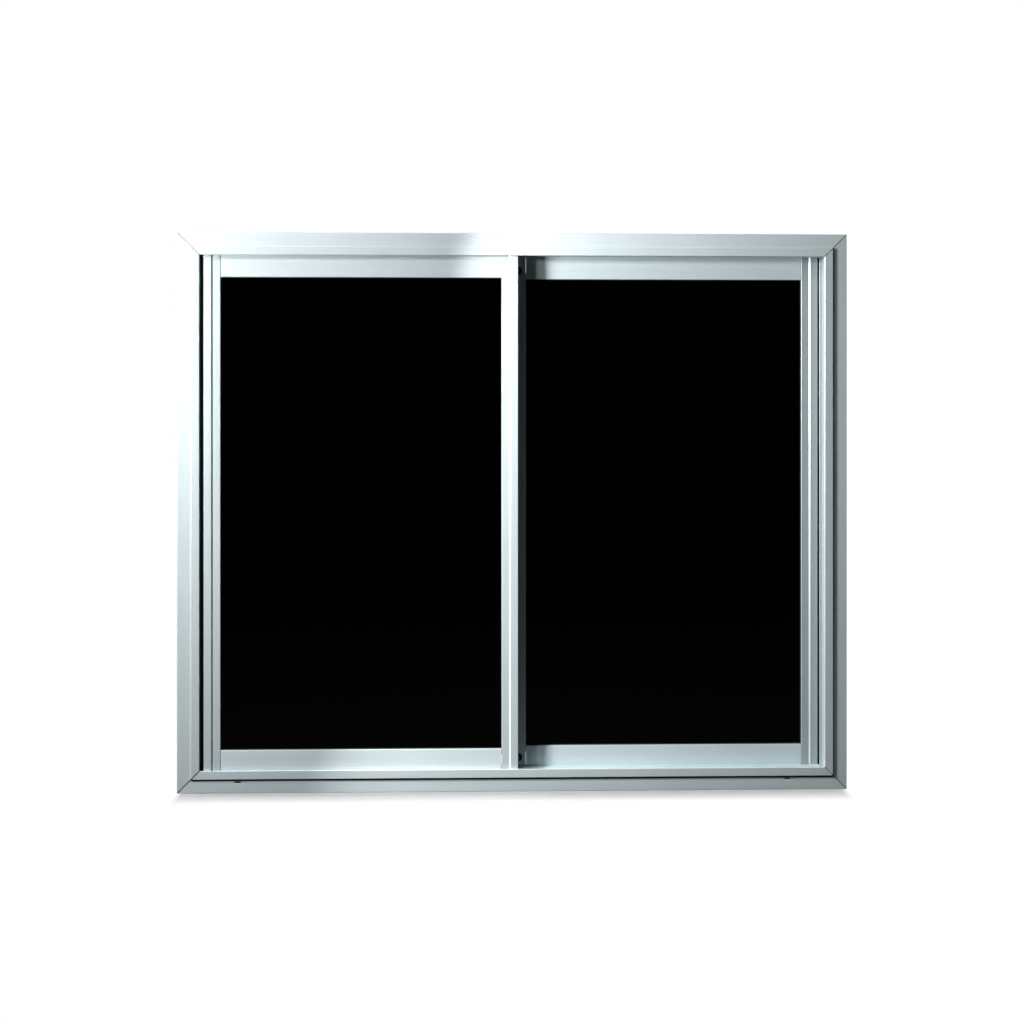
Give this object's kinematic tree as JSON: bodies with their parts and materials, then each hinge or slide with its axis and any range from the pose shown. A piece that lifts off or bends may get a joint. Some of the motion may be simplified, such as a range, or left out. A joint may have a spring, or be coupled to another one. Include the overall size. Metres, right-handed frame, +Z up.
{
  "type": "sliding window",
  "caption": "Horizontal sliding window in silver aluminium: mitred face trim, channelled head and sill, overlapping glazed sashes on rollers.",
  "frame": {"origin": "on the back face of the bottom trim's flange, at mid width and half way up the flange, so it lies in the plane of the wall's face", "axes": "+X along the sill to the viewer's right, +Y from the wall's face into the wall, away from the viewer, +Z up"},
  "size_m": [1.2, 0.0557, 1.0001],
  "materials": {
    "anodised_aluminium": "satin natural anodised",
    "dark_glass": "polished, near black",
    "gasket_rubber": "matt",
    "brush_pile": "woven pile",
    "nylon": "moulded",
    "roller_nylon": "moulded"
  },
  "bodies": {
    "root": {"back_sash_bottom_rail": "anodised_aluminium", "back_sash_closing_stile": "anodised_aluminium", "back_sash_gasket": "gasket_rubber", "back_sash_glass": "dark_glass", "back_sash_left_carriage": "nylon", "back_sash_left_guide": "nylon", "back_sash_left_wheel": "roller_nylon", "back_sash_meeting_stile": "anodised_aluminium", "back_sash_right_carriage": "nylon", "back_sash_right_guide": "nylon", "back_sash_right_wheel": "roller_nylon", "back_sash_top_rail": "anodised_aluminium", "front_sash_bottom_rail": "anodised_aluminium", "front_sash_closing_stile": "anodised_aluminium", "front_sash_gasket": "gasket_rubber", "front_sash_glass": "dark_glass", "front_sash_left_carriage": "nylon", "front_sash_left_guide": "nylon", "front_sash_left_wheel": "roller_nylon", "front_sash_meeting_stile": "anodised_aluminium", "front_sash_right_carriage": "nylon", "front_sash_right_guide": "nylon", "front_sash_right_wheel": "roller_nylon", "front_sash_top_rail": "anodised_aluminium", "head_track": "anodised_aluminium", "left_brush_seal": "brush_pile", "left_jamb": "anodised_aluminium", "right_brush_seal": "brush_pile", "right_jamb": "anodised_aluminium", "sill_track": "anodised_aluminium", "trim_bottom": "anodised_aluminium", "trim_left": "anodised_aluminium", "trim_right": "anodised_aluminium", "trim_top": "anodised_aluminium"}
  },
  "joints": []
}
